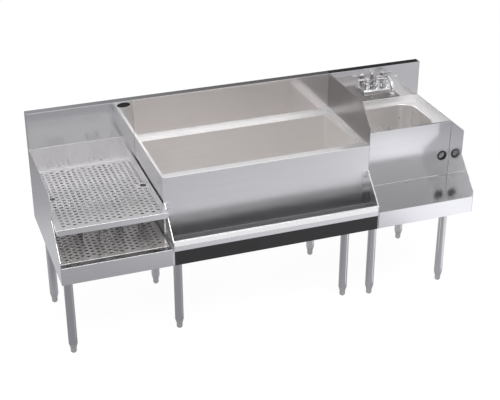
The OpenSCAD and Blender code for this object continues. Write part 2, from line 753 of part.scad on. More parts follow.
faucet_x = (deck_x0 + deck_x1) / 2;
faucet_top_z = rim_z + faucet_rise;
faucet_base_z = faucet_top_z - faucet_body_h;
inlet_x = [faucet_x - inlet_pitch / 2, faucet_x + inlet_pitch / 2];
inlet_z = faucet_top_z - faucet_body_h / 2;
inlet_r = 10.4;
inlet_hole_r = 14;
inlet_len = 32;
inlet_free_end = 18;
inlet_end_y = splash_y + inlet_len - inlet_free_end;
valve_y = splash_y - valve_reach;
body_nose = 21;
body_edge_r = 6;
body_end = 20;
boss_r = 10.5;
boss_root_z = faucet_top_z - body_edge_r;
boss_h = 14;
post_r = 11.5;
post_h = 23;
post_ring_h = 4;
post_ring_out = 2;
run_fit = 0.05;
bonnet_r = 11;
bonnet_thread_r = 8;
bonnet_h = 12;
bonnet_ring_h = 5;
bonnet_ring_r = 12.5;
bonnet_depth = 12;
stem_r = 5;
stem_depth = 8;

// The body in section: flat against the backsplash, with two round edges at the front
module body_section() {
    front_y = valve_y - body_nose;
    translate([front_y + body_edge_r, faucet_base_z]) square([splash_y - front_y - body_edge_r, faucet_body_h]);
    translate([front_y, faucet_base_z + body_edge_r])
        square([splash_y - front_y, faucet_body_h - 2 * body_edge_r]);
    for (z = [faucet_base_z + body_edge_r, faucet_top_z - body_edge_r])
        translate([front_y + body_edge_r, z]) circle(r = body_edge_r);
}

// The cast body: a bar along the backsplash with two bosses and the spout's post, which are
// rooted in the bar
module faucet_body() placed() color(chrome) difference() {
    union() {
        along_x(inlet_x[0] - body_end, inlet_x[1] + body_end) body_section();
        for (x = inlet_x) bar_z(x, valve_y, boss_root_z, faucet_top_z + boss_h, boss_r);
        bar_z(faucet_x, valve_y, boss_root_z, faucet_top_z + post_h, post_r);
        bar_z(faucet_x, valve_y, boss_root_z, faucet_top_z + post_ring_h, post_r + post_ring_out);
        bar_z(faucet_x, valve_y, faucet_top_z + post_h - post_ring_h, faucet_top_z + post_h,
            post_r + post_ring_out);
    }
    for (x = inlet_x)
        bar_z(x, valve_y, faucet_top_z + boss_h - bonnet_depth, faucet_top_z + boss_h + over,
            bonnet_thread_r + run_fit);
    bar_z(faucet_x, valve_y, faucet_top_z, faucet_top_z + post_h + over, spout_r + run_fit);
}

module inlet_shanks() placed() color(dull_steel)
    for (x = inlet_x) difference() {
        union() {
            bar_y(x, inlet_z, splash_y, inlet_end_y - groove_w, inlet_r);
            bar_y(x, inlet_z, inlet_end_y - groove_w, inlet_end_y, inlet_r - groove_deep);
            bar_y(x, inlet_z, inlet_end_y, splash_y + inlet_len, inlet_r);
        }
        bar_y(x, inlet_z, splash_y + inlet_r, splash_y + inlet_len + over, inlet_r - 2 * outlet_wall);
    }

module shank_nuts() placed() color(dull_steel)
    for (x = inlet_x) difference() {
        translate([x, splash_y + sheet_t + nut_h, inlet_z]) rotate([90, 0, 0])
            cylinder(r = inlet_hole_r + nut_wall / 2, h = nut_h, $fn = 6);
        bar_y(x, inlet_z, splash_y, splash_y + sheet_t + nut_h + over, inlet_r + drain_clear);
    }

// Bonnets: a hexagon on top, a threaded end in the body, and a bore for the stem
bonnet_top_z = faucet_top_z + boss_h + bonnet_h;
module valve_bonnets() placed() color(chrome)
    for (x = inlet_x) difference() {
        union() {
            bar_z(x, valve_y, faucet_top_z + boss_h - bonnet_depth + run_fit, faucet_top_z + boss_h,
                bonnet_thread_r);
            translate([x, valve_y, faucet_top_z + boss_h])
                cylinder(r = bonnet_r, h = bonnet_h - bonnet_ring_h, $fn = 6);
            bar_z(x, valve_y, bonnet_top_z - bonnet_ring_h, bonnet_top_z, bonnet_ring_r);
        }
        bar_z(x, valve_y, bonnet_top_z - bonnet_h - stem_depth, bonnet_top_z + over, stem_r + run_fit);
    }

// Levers: a hub on each stem, a blade pointing outwards and a screw on top
hub_r = 11;
hub_h = 27;
hub_skirt_r = 8;
lever_z = bonnet_top_z + seat_gap;
lever_rise = 17;
lever_tip_r = 7;
lever_tip_bevel = 0.8;
lever_root_r = 7.5;
lever_t = 6;
lever_tip_rise = 5;
lever_screw_r = 3.5;
lever_screw_h = 2;
lever_screw_shank_r = 1.5;
lever_screw_len = 8;
stem_top_z = lever_z + hub_h - sheet_t - lever_screw_h;

module valve_stem(x) {
    difference() {
        bar_z(x, valve_y, bonnet_top_z - bonnet_h - stem_depth + run_fit, stem_top_z, stem_r);
        bar_z(x, valve_y, stem_top_z - lever_screw_len, stem_top_z + over, lever_screw_shank_r + run_fit);
    }
}

module lever() {
    difference() {
        union() {
            cylinder(r1 = hub_skirt_r, r2 = hub_r, h = hub_h / 2);
            translate([0, 0, hub_h / 2]) cylinder(r1 = hub_r, r2 = hub_r - sheet_t, h = hub_h / 2);
            hull() {
                translate([0, 0, lever_rise]) cylinder(r = lever_root_r, h = lever_t, $fn = 32);
                translate([lever_len - lever_tip_r, 0, lever_rise + lever_tip_rise])
                    cylinder(r1 = lever_tip_r, r2 = lever_tip_r - lever_tip_bevel, h = lever_t / 2, $fn = 32);
            }
        }
        translate([0, 0, -over]) cylinder(r = stem_r + run_fit, h = stem_top_z - lever_z + over);
        translate([0, 0, -over]) cylinder(r = lever_screw_shank_r + run_fit, h = hub_h + 2 * over);
        translate([0, 0, hub_h - lever_screw_h]) cylinder(r = lever_screw_r + run_fit, h = lever_screw_h + over);
    }
}

module lever_screw(x) {
    bar_z(x, valve_y, lever_z + hub_h - lever_screw_h, lever_z + hub_h, lever_screw_r);
    bar_z(x, valve_y, stem_top_z - lever_screw_len + run_fit, lever_z + hub_h - lever_screw_h,
        lever_screw_shank_r);
}

module left_valve_stem() placed() color(dull_steel) valve_stem(inlet_x[0]);
module right_valve_stem() placed() color(dull_steel) valve_stem(inlet_x[1]);
module left_lever() placed() color(chrome)
    translate([inlet_x[0], valve_y, lever_z]) rotate([0, 0, 180]) lever();
module right_lever() placed() color(chrome) translate([inlet_x[1], valve_y, lever_z]) lever();
module left_lever_screw() placed() color(dull_steel) lever_screw(inlet_x[0]);
module right_lever_screw() placed() color(dull_steel) lever_screw(inlet_x[1]);

// Spout: up out of the post, forward on a slope, and down to the aerator
spout_foot_h = 20;
riser_h = 41;
riser_bend_r = 17;
tip_bend_r = 36;
slope_a = 20;
tip_drop = 28;
spout_foot_z = faucet_top_z + post_h - spout_foot_h;
spout_nut_h = 13;
bends_reach = riser_bend_r * (1 - sin(slope_a)) + tip_bend_r * (1 + sin(slope_a));
slope_len = (spout_reach - bends_reach) / cos(slope_a);

// The tube's middle line as rows of [y, z, lean], from the foot up, over and down to the tip
tube_sides = 24;
riser_steps = 5;
tip_steps = 10;
foot_rise = riser_h + spout_foot_h - post_h;
function leaning(at, r, a0, a1, steps) = [for (i = [1 : steps])
    let (a = a0 + (a1 - a0) * i / steps)
    [at[0] + r * (cos(a) - cos(a0)), at[1] + r * (sin(a) - sin(a0)), a]];
function ahead(at, len) = [[at[0] - len * sin(at[2]), at[1] + len * cos(at[2]), at[2]]];
function last(rows) = rows[len(rows) - 1];
riser_rows = leaning([0, foot_rise], riser_bend_r, 0, 90 - slope_a, riser_steps);
slope_rows = ahead(last(riser_rows), slope_len);
tip_rows = leaning(last(slope_rows), tip_bend_r, 90 - slope_a, 180, tip_steps);
tube_rows = concat([[0, 0, 0], [0, foot_rise, 0]], riser_rows, slope_rows, tip_rows,
    ahead(last(tip_rows), tip_drop));

// The bent tube with its closed ends
module bent_tube() {
    n = tube_sides;
    points = [for (row = tube_rows, i = [0 : n - 1])
        let (x = spout_r * cos(360 * i / n), out = spout_r * sin(360 * i / n))
        [x, row[0] + out * cos(row[2]), row[1] + out * sin(row[2])]];
    skin = [for (j = [0 : len(tube_rows) - 2], i = [0 : n - 1], half = [0, 1])
        let (k = (i + 1) % n, low = j * n, high = low + n)
        half == 0 ? [low + i, high + i, high + k] : [low + i, high + k, low + k]];
    ends = [[for (i = [0 : n - 1]) i], [for (i = [n - 1 : -1 : 0]) (len(tube_rows) - 1) * n + i]];
    polyhedron(points, concat(skin, ends));
}

module spout() placed() color(chrome) translate([faucet_x, valve_y, spout_foot_z + run_fit]) bent_tube();

module spout_nut() placed() color(chrome) translate([faucet_x, valve_y, faucet_top_z + post_h]) difference() {
    union() {
        cylinder(r = post_r - sheet_t, h = spout_nut_h / 2);
        translate([0, 0, spout_nut_h / 2])
            cylinder(r1 = post_r - sheet_t, r2 = spout_r + sheet_t, h = spout_nut_h / 2);
    }
    translate([0, 0, -over]) cylinder(r = spout_r + run_fit, h = spout_nut_h + 2 * over);
}

aerator_r = 11.5;
aerator_h = 15;
aerator_grip = 9;
spout_tip_z = spout_foot_z + run_fit + last(tube_rows)[1];
module aerator() placed() color(chrome)
    translate([faucet_x, valve_y - spout_reach, spout_tip_z + aerator_grip - aerator_h]) difference() {
        cylinder(r = aerator_r, h = aerator_h);
        translate([0, 0, aerator_h - aerator_grip]) cylinder(r = spout_r + run_fit, h = aerator_grip + over);
        translate([0, 0, -over]) cylinder(r = spout_r - sheet_t, h = aerator_h);
    }

// Channels and legs

channel_w = 60;
channel_h = 25;
channel_end = 5;
channel_clear = 2;

// Legs: place along X, place along Y and height of the metal above the channel
leg_places = [
    [leg_in, leg_front_y, pan_z],
    [leg_in, depth - leg_back_in, pan_z],
    [bin_x + bin_leg_in, bin_leg_front_y, bin_base_z + sheet_t],
    [bin_x + bin_leg_in, depth - leg_back_in, bin_base_z + sheet_t],
    [bin_x1 - bin_leg_in, bin_leg_front_y, bin_base_z + sheet_t],
    [bin_x1 - bin_leg_in, depth - leg_back_in, bin_base_z + sheet_t],
    [sink_x + sink_leg_in, leg_front_y, apron_top_z],
    [run_w - leg_in, leg_front_y, apron_top_z],
    [run_w - leg_in, depth - leg_back_in, bowl_floor_z - sheet_t]
];
function channel_top(i) = leg_places[i][2] - sheet_t;
function channel_base(i) = channel_top(i) - channel_h;

// A channel below a station, open at the bottom
module channel_y(x, y0, y1, top) {
    along_y(y0, y1) difference() {
        translate([x - channel_w / 2, top - channel_h]) square([channel_w, channel_h]);
        translate([x - channel_w / 2 + sheet_t, top - channel_h - over])
            square([channel_w - 2 * sheet_t, channel_h - sheet_t + over]);
    }
}

module channel_x(y, x0, x1, top) {
    along_x(x0, x1) difference() {
        translate([y - channel_w / 2, top - channel_h]) square([channel_w, channel_h]);
        translate([y - channel_w / 2 + sheet_t, top - channel_h - over])
            square([channel_w - 2 * sheet_t, channel_h - sheet_t + over]);
    }
}

module support_channels() placed() color(dull_steel) {
    channel_y(leg_in, ledge_w, depth - channel_end, channel_top(0));
    for (i = [2, 4])
        channel_y(leg_places[i][0], bin_front_y + channel_clear, depth - channel_end, channel_top(i));
    channel_x(leg_front_y, deck_x0, deck_x1, channel_top(6));
    channel_x(depth - leg_back_in, deck_x0, deck_x1, channel_top(8));
}

// Sockets: a square plate under the channel and a collar around the leg
socket_plate_t = 3;
socket_wall = 4;
socket_h = 42;
leg_fit = 0.1;
leg_r = leg_d / 2;
module leg_sockets() placed() color(dull_steel)
    for (i = [0 : len(leg_places) - 1]) translate([leg_places[i][0], leg_places[i][1], channel_base(i)]) {
        difference() {
            union() {
                translate([-channel_w / 2, -channel_w / 2, -socket_plate_t])
                    cube([channel_w, channel_w, socket_plate_t]);
                translate([0, 0, -socket_plate_t - socket_h]) cylinder(r = leg_r + socket_wall, h = socket_h);
            }
            translate([0, 0, -socket_plate_t - socket_h - over])
                cylinder(r = leg_r + leg_fit, h = socket_h + over);
        }
    }

plug_taper_h = 18;
plug_tip_r = foot_d / 2 + 1;
plug_seat_h = 28;
leg_base_z = foot_h + seat_gap + plug_taper_h;
module leg_tubes() placed() color(steel)
    for (i = [0 : len(leg_places) - 1]) translate([leg_places[i][0], leg_places[i][1], leg_base_z])
        difference() {
            cylinder(r = leg_r, h = channel_base(i) - socket_plate_t - leg_base_z);
            translate([0, 0, -over])
                cylinder(r = leg_r - leg_wall, h = channel_base(i) - socket_plate_t - leg_base_z + 2 * over);
        }

// Plugs: tapered below the tube and a close fit inside it, bored for the foot's stem
foot_stem_r = 8;
module leg_plugs() placed() color(nylon_grey)
    for (p = leg_places) translate([p[0], p[1], foot_h + seat_gap]) difference() {
        union() {
            cylinder(r1 = plug_tip_r, r2 = leg_r, h = plug_taper_h);
            translate([0, 0, plug_taper_h]) cylinder(r = leg_r - leg_wall - leg_fit, h = plug_seat_h);
        }
        translate([0, 0, -over])
            cylinder(r = foot_stem_r + run_fit, h = plug_taper_h + plug_seat_h + 2 * over);
    }

// Feet: a round-ended barrel on a stem that runs in the plug
foot_end_r = 9;
foot_stem_len = 46;
module foot(i) placed() color(dull_steel) translate([leg_places[i - 1][0], leg_places[i - 1][1], 0]) {
    rotate_extrude() {
        square([foot_d / 2 - foot_end_r, foot_h]);
        translate([0, foot_end_r]) square([foot_d / 2, foot_h - foot_end_r]);
        intersection() {
            translate([foot_d / 2 - foot_end_r, foot_end_r]) circle(r = foot_end_r);
            square([foot_d, foot_end_r]);
        }
        square([foot_stem_r, foot_h + foot_stem_len]);
    }
}

left_end_panel();
right_end_panel();
sink_side_splash();
backsplash_left();
backsplash_center();
backsplash_right();
drain_back_wall();
drain_pan();
pan_drain();
lower_insert_sheet();
lower_insert_frame();
upper_shelf_sheet();
upper_shelf_frame();
shelf_legs();
bin_shell();
bin_liner();
bin_insulation();
bin_drain();
drain_nuts();
bin_side_screw();
rail_trough();
rail_guard();
rail_left_bracket();
rail_right_bracket();
rail_screws();
blender_shelf();
sink_front_panel();
sink_deck();
sink_bowl();
cord_grommet();
sink_drain_body();
sink_lock_nut();
strainer_basket();
sink_tailpiece();
faucet_body();
inlet_shanks();
shank_nuts();
valve_bonnets();
left_valve_stem();
right_valve_stem();
left_lever();
right_lever();
left_lever_screw();
right_lever_screw();
spout();
spout_nut();
aerator();
support_channels();
leg_sockets();
leg_tubes();
leg_plugs();
foot(1);  // foot_1
foot(2);  // foot_2
foot(3);  // foot_3
foot(4);  // foot_4
foot(5);  // foot_5
foot(6);  // foot_6
foot(7);  // foot_7
foot(8);  // foot_8
foot(9);  // foot_9
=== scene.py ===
import math

import bmesh
import bpy
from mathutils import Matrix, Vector


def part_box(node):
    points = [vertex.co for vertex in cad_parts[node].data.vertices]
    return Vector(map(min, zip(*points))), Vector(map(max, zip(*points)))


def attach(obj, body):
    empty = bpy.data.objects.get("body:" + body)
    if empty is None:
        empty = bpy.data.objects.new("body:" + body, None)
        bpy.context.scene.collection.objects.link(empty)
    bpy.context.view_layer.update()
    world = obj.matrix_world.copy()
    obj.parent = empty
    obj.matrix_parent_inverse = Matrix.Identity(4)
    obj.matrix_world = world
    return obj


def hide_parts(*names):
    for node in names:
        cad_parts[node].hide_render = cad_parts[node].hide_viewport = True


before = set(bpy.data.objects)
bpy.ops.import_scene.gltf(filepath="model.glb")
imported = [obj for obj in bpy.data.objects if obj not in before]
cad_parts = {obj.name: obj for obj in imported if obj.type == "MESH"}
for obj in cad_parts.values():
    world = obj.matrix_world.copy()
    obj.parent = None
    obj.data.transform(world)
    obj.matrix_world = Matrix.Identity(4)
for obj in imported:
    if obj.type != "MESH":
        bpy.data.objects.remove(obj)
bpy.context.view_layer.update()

# The camera stands to the left of the unit and looks down on it, as the photograph does.
camera = bpy.data.objects.new("camera", bpy.data.cameras.new("camera"))
camera.data.lens = 80.978
camera.data.sensor_width = 36
camera.location = (-1.48955, -4.09450, 2.79666)
camera.rotation_euler = (math.radians(62.228), 0, math.radians(-19.761))
bpy.context.collection.objects.link(camera)
bpy.context.scene.camera = camera
bpy.context.scene.view_settings.view_transform = "Standard"


# The studio is a plain white room. The camera and the metal both see it white, and matte
# surfaces get its soft light at a plain level. This mask tells the one from the other: it
# is 1 for what is seen straight or in a mirror, and 0 for scattered light.
def seen_or_mirrored(tree):
    path = tree.nodes.new("ShaderNodeLightPath")
    either = tree.nodes.new("ShaderNodeMath")
    any_of_three = tree.nodes.new("ShaderNodeMath")
    either.operation = "MAXIMUM"
    any_of_three.operation = "MAXIMUM"
    tree.links.new(path.outputs["Is Camera Ray"], either.inputs[0])
    tree.links.new(path.outputs["Is Glossy Ray"], either.inputs[1])
    tree.links.new(either.outputs[0], any_of_three.inputs[0])
    tree.links.new(path.outputs["Is Transmission Ray"], any_of_three.inputs[1])
    return any_of_three.outputs[0]


world = bpy.data.worlds.new("white_room")
bpy.context.scene.world = world
world.use_nodes = True
room = world.node_tree
room.nodes.clear()
room_out = room.nodes.new("ShaderNodeOutputWorld")
room_mix = room.nodes.new("ShaderNodeMixShader")
room_seen = room.nodes.new("ShaderNodeBackground")
room_light = room.nodes.new("ShaderNodeBackground")
room_seen.inputs["Color"].default_value = (1, 1, 1, 1)
room_light.inputs["Color"].default_value = (0.60, 0.60, 0.61, 1)
room.links.new(seen_or_mirrored(room), room_mix.inputs[0])
room.links.new(room_light.outputs[0], room_mix.inputs[1])
room.links.new(room_seen.outputs[0], room_mix.inputs[2])
room.links.new(room_mix.outputs[0], room_out.inputs[0])


# The floor is a pale sheet that runs out of sight. Most of its white is its own, so that it
# stays white to the camera, and the rest still takes the unit's soft shadow.
def flat_sheet(name, corners):
    mesh = bpy.data.meshes.new(name)
    mesh.from_pydata(corners, [], [(0, 1, 2, 3)])
    sheet = bpy.data.objects.new(name, mesh)
    bpy.context.collection.objects.link(sheet)
    return sheet


def level_corners(reach_x, reach_y, height):
    return [(-reach_x, -reach_y, height), (reach_x, -reach_y, height),
            (reach_x, reach_y, height), (-reach_x, reach_y, height)]


floor = flat_sheet("studio_floor", level_corners(reach_x=7, reach_y=7, height=0))
floor_paint = bpy.data.materials.new("floor_paint")
floor_paint.use_nodes = True
paper = floor_paint.node_tree
paper.nodes.clear()
paper_out = paper.nodes.new("ShaderNodeOutputMaterial")
paper_mix = paper.nodes.new("ShaderNodeMixShader")
paper_sum = paper.nodes.new("ShaderNodeAddShader")
paper_glow = paper.nodes.new("ShaderNodeEmission")
paper_matte = paper.nodes.new("ShaderNodeBsdfDiffuse")
paper_plain = paper.nodes.new("ShaderNodeBsdfDiffuse")
paper_glow.inputs["Strength"].default_value = 0.90
paper_matte.inputs["Color"].default_value = (0.17, 0.17, 0.17, 1)
paper_plain.inputs["Color"].default_value = (0.75, 0.75, 0.75, 1)
paper.links.new(seen_or_mirrored(paper), paper_mix.inputs[0])
paper.links.new(paper_plain.outputs[0], paper_mix.inputs[1])
paper.links.new(paper_glow.outputs[0], paper_sum.inputs[0])
paper.links.new(paper_matte.outputs[0], paper_sum.inputs[1])
paper.links.new(paper_sum.outputs[0], paper_mix.inputs[2])
paper.links.new(paper_mix.outputs[0], paper_out.inputs[0])
floor.data.materials.append(floor_paint)


# Grey cards stand round the unit, out of the picture. They are there for the sheet metal,
# which would be white all over without something to mirror: one lies on the floor, one
# stands behind, one far off in front and one hangs above. Only reflections see them.
def reflector(name, corners, build_tone):
    card = flat_sheet(name, corners)
    card.visible_camera = False
    card.visible_diffuse = False
    card.visible_shadow = False
    card.visible_transmission = False
    tone = bpy.data.materials.new(name)
    tone.use_nodes = True
    card_tree = tone.node_tree
    card_tree.nodes.clear()
    out = card_tree.nodes.new("ShaderNodeOutputMaterial")
    glow = card_tree.nodes.new("ShaderNodeEmission")
    place = card_tree.nodes.new("ShaderNodeTexCoord")
    card_tree.links.new(build_tone(card_tree, place.outputs["Object"]), glow.inputs["Color"])
    card_tree.links.new(glow.outputs[0], out.inputs[0])
    card.data.materials.append(tone)


def upright_corners(start, end, low, high):
    return [(*start, low), (*end, low), (*end, high), (*start, high)]


def split_axes(tree, vector):
    split = tree.nodes.new("ShaderNodeSeparateXYZ")
    tree.links.new(vector, split.inputs[0])
    return split.outputs


# Each stop is a value and the tone at it. A cool over 1 makes the tones a little blue.
def tone_along(tree, value, stops, cool=1.05):
    low, high = stops[0][0], stops[-1][0]
    span = tree.nodes.new("ShaderNodeMapRange")
    span.inputs["From Min"].default_value = low
    span.inputs["From Max"].default_value = high
    ramp = tree.nodes.new("ShaderNodeValToRGB")
    bands = ramp.color_ramp.elements
    for stop, (at, tone) in enumerate(stops):
        band = bands[stop] if stop < 2 else bands.new((at - low) / (high - low))
        band.position = (at - low) / (high - low)
        band.color = (tone, tone, tone * cool, 1)
    tree.links.new(value, span.inputs["Value"])
    tree.links.new(span.outputs[0], ramp.inputs[0])
    return ramp.outputs[0]


# A mix node also has sockets for plain numbers and vectors. These are the ones for colours.
mix_share, mix_first, mix_second, mix_result = 0, 6, 7, 2


def tone_mix(tree, share, first, second):
    mix = tree.nodes.new("ShaderNodeMix")
    mix.data_type = "RGBA"
    tree.links.new(share, mix.inputs[mix_share])
    tree.links.new(first, mix.inputs[mix_first])
    tree.links.new(second, mix.inputs[mix_second])
    return mix.outputs[mix_result]


# The floor card is grey at the left and nearly white at the right. The strips near the
# unit, in front of it, farther off and behind it have their own tones and fade together.
def floor_card_tone(tree, place):
    x, y = split_axes(tree, place)[:2]
    near = tone_along(tree, x, [(-2, 0.36), (0, 0.38), (0.9, 0.55), (1.05, 0.95), (1.3, 1.02), (2, 0.9)])
    front = tone_along(tree, x, [(-2, 0.36), (-0.6, 0.44), (0, 0.66), (0.88, 0.7), (1.02, 0.84),
                                 (1.32, 1.02), (1.6, 0.9), (1.85, 0.62), (2, 0.6)])
    far = tone_along(tree, x, [(-2, 0.33), (-0.4, 0.35), (0.5, 0.4), (1.4, 0.46), (1.9, 0.62), (3, 0.7)])
    back = tone_along(tree, y, [(0, 0.6), (0.9, 0.56), (1.25, 0.4), (1.8, 0.32), (3, 0.26)])
    front_share = tone_along(tree, y, [(-1.4, 1), (-1.25, 1), (-0.85, 0), (-0.7, 0)], cool=1)
    far_share = tone_along(tree, y, [(-1.9, 1), (-1.72, 1), (-1.5, 0), (-1.4, 0)], cool=1)
    back_share = tone_along(tree, y, [(-0.2, 0), (0, 0), (0.4, 1), (0.6, 1)], cool=1)
    in_front = tone_mix(tree, far_share, tone_mix(tree, front_share, near, front), far)
    return tone_mix(tree, back_share, in_front, back)


def back_card_tone(tree, place):
    return tone_along(tree, split_axes(tree, place)["X"],
                      [(-2, 0.42), (-0.4, 0.4), (0.8, 0.16), (2, 0.05), (4, 0.03)])


# The front card is so far off that what counts is how steeply the metal looks up at it: it
# is light low down and grey above.
def front_card_tone(tree, place):
    aim = tree.nodes.new("ShaderNodeVectorMath")
    aim.operation = "NORMALIZE"
    tree.links.new(place, aim.inputs[0])
    rise = split_axes(tree, aim.outputs[0])["Z"]
    across = split_axes(tree, place)["X"]
    left = tone_along(tree, rise, [(0, 0.84), (0.41, 0.84), (0.455, 0.44), (0.75, 0.42), (1, 0.6)],
                      cool=1.01)
    right = tone_along(tree, rise, [(0, 1.06), (0.41, 1.06), (0.455, 0.42), (0.75, 0.42), (1, 0.6)],
                       cool=1.01)
    right_share = tone_along(tree, across, [(0, 0), (9, 0), (19, 1), (40, 1)], cool=1)
    return tone_mix(tree, right_share, left, right)


def ceiling_card_tone(tree, place):
    return tone_along(tree, split_axes(tree, place)["Y"], [(-3, 0.72), (3, 0.72)], cool=1.01)


reflector("floor_card", level_corners(reach_x=5, reach_y=5, height=0.002), floor_card_tone)
reflector("back_card", upright_corners((-3, 3.2), (6, 3.2), low=0.01, high=2.6), back_card_tone)
reflector("front_card", upright_corners((-50, -40), (80, -40), low=8, high=60), front_card_tone)
reflector("ceiling_card", level_corners(reach_x=3, reach_y=2.4, height=4), ceiling_card_tone)

# A narrow card stands to the right of each leg, a hand's breadth away. It is what draws
# the light streak down the right side of the polished tubes, brighter towards the right.
legs = range(1, 10)
strip_away = 0.12
strip_edge_turns = (66, 94)
strip_low, strip_high = 0.004, 0.36


def strip_tone(tree, place):
    return tone_along(tree, split_axes(tree, place)["X"],
                      [(-1, 0.5), (-0.2, 0.55), (0.2, 1.05), (1, 1.1)], cool=1)


for leg in legs:
    foot_low, foot_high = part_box("foot_%d" % leg)
    leg_x = (foot_low[0] + foot_high[0]) / 2
    leg_y = (foot_low[1] + foot_high[1]) / 2
    to_camera = math.atan2(camera.location.y - leg_y, camera.location.x - leg_x)
    edges = []
    for turn in strip_edge_turns:
        way = to_camera + math.radians(turn)
        edges.append((leg_x + strip_away * math.cos(way), leg_y + strip_away * math.sin(way)))
    reflector("leg_strip_%d" % leg, upright_corners(*edges, strip_low, strip_high), strip_tone)


# Two broad soft lamps: a large one high up in front of the unit, and a smaller and weaker
# one lower down at its front left. Both point at the unit.
def soft_lamp(name, place, aim, size, power):
    lamp = bpy.data.objects.new(name, bpy.data.lights.new(name, "AREA"))
    lamp.data.shape = "RECTANGLE"
    lamp.data.size, lamp.data.size_y = size
    lamp.data.energy = power
    lamp.location = place
    lamp.rotation_euler = (Vector(aim) - Vector(place)).to_track_quat("-Z", "Y").to_euler()
    bpy.context.collection.objects.link(lamp)


soft_lamp("high_lamp", place=(0, -2.3, 3.5), aim=(0, 0, 0.7), size=(3.4, 1.4), power=50)
soft_lamp("left_lamp", place=(-2.6, -3.4, 2.4), aim=(0, 0, 0.6), size=(1.6, 1.6), power=22)


# Side panels: sheets of satin stainless steel, cut to the stepped outline of the stations,
# brushed along their depth and deburred round the edge. The fine lines of the brushing,
# slow clouds and faint wipe marks are one effect, which every sheet of the unit shares.
def make_sheet_grain():
    group = bpy.data.node_groups.new("sheet_grain", "ShaderNodeTree")
    for label, kind in (("Vector", "NodeSocketVector"), ("Length", "NodeSocketFloat"),
                        ("Density", "NodeSocketFloat")):
        group.interface.new_socket(label, in_out="INPUT", socket_type=kind)
    for label in ("Lines", "Marks"):
        group.interface.new_socket(label, in_out="OUTPUT", socket_type="NodeSocketFloat")
    start = group.nodes.new("NodeGroupInput")
    end = group.nodes.new("NodeGroupOutput")
    stretch = group.nodes.new("ShaderNodeCombineXYZ")
    stretched = group.nodes.new("ShaderNodeVectorMath")
    stretched.operation = "MULTIPLY"
    lines = group.nodes.new("ShaderNodeTexNoise")
    lines.inputs["Scale"].default_value = 1
    lines.inputs["Detail"].default_value = 3
    clouds = group.nodes.new("ShaderNodeTexNoise")
    clouds.inputs["Scale"].default_value = 2.6
    clouds.inputs["Detail"].default_value = 2
    wipe_turn = group.nodes.new("ShaderNodeMapping")
    wipe_turn.inputs["Rotation"].default_value = (0.4, 0.3, 0.7)
    wipe_turn.inputs["Scale"].default_value = (9, 2.2, 4)
    wipes = group.nodes.new("ShaderNodeTexNoise")
    wipes.inputs["Scale"].default_value = 1.4
    wipes.inputs["Detail"].default_value = 4
    wipes.inputs["Distortion"].default_value = 0.8
    marks = group.nodes.new("ShaderNodeMath")
    marks.operation = "ADD"
    link = group.links.new
    link(start.outputs["Length"], stretch.inputs["X"])
    link(start.outputs["Density"], stretch.inputs["Y"])
    link(start.outputs["Density"], stretch.inputs["Z"])
    link(start.outputs["Vector"], stretched.inputs[0])
    link(stretch.outputs[0], stretched.inputs[1])
    link(stretched.outputs[0], lines.inputs["Vector"])
    link(start.outputs["Vector"], clouds.inputs["Vector"])
    link(start.outputs["Vector"], wipe_turn.inputs["Vector"])
    link(wipe_turn.outputs[0], wipes.inputs["Vector"])
    link(clouds.outputs[0], marks.inputs[0])
    link(wipes.outputs[0], marks.inputs[1])
    link(lines.outputs[0], end.inputs["Lines"])
    link(marks.outputs[0], end.inputs["Marks"])
    return group


# Masks for the faces that look up and for those that look sideways. Each sheet gives these
# faces their own share of its tone, lighter or darker than the rest: painted shade and
# painted highlight that stand in for what these faces mirror.
def make_painted_shading_masks():
    group = bpy.data.node_groups.new("painted_shading_masks", "ShaderNodeTree")
    mask_names = ("Upward", "Sideways")
    for label in mask_names:
        group.interface.new_socket(label, in_out="OUTPUT", socket_type="NodeSocketFloat")
    end = group.nodes.new("NodeGroupOutput")
    shape = group.nodes.new("ShaderNodeNewGeometry")
    split = split_axes(group, shape.outputs["True Normal"])
    either_side = group.nodes.new("ShaderNodeMath")
    either_side.operation = "ABSOLUTE"
    group.links.new(split["X"], either_side.inputs[0])
    for label, facing in zip(mask_names, (split["Z"], either_side.outputs[0])):
        span = group.nodes.new("ShaderNodeMapRange")
        span.inputs["From Min"].default_value = 0.8
        span.inputs["From Max"].default_value = 0.95
        group.links.new(facing, span.inputs["Value"])
        group.links.new(span.outputs[0], end.inputs[label])
    return group


sheet_grain = make_sheet_grain()
painted_shading_masks = make_painted_shading_masks()
grain_turns = {"x": (0, 0, 0), "y": (0, 0, math.radians(90)), "z": (0, math.radians(90), 0)}
grain_length = 3.0


def two_tones(tree, value, colour, swing, low=0, high=1):
    tint = tree.nodes.new("ShaderNodeValToRGB")
    for band, at, share in zip(tint.color_ramp.elements, (low, high), (1 - swing, 1 + swing)):
        band.position = at
        band.color = (*[min(c * share, 1) for c in colour], 1)
    tree.links.new(value, tint.inputs[0])
    return tint.outputs[0]
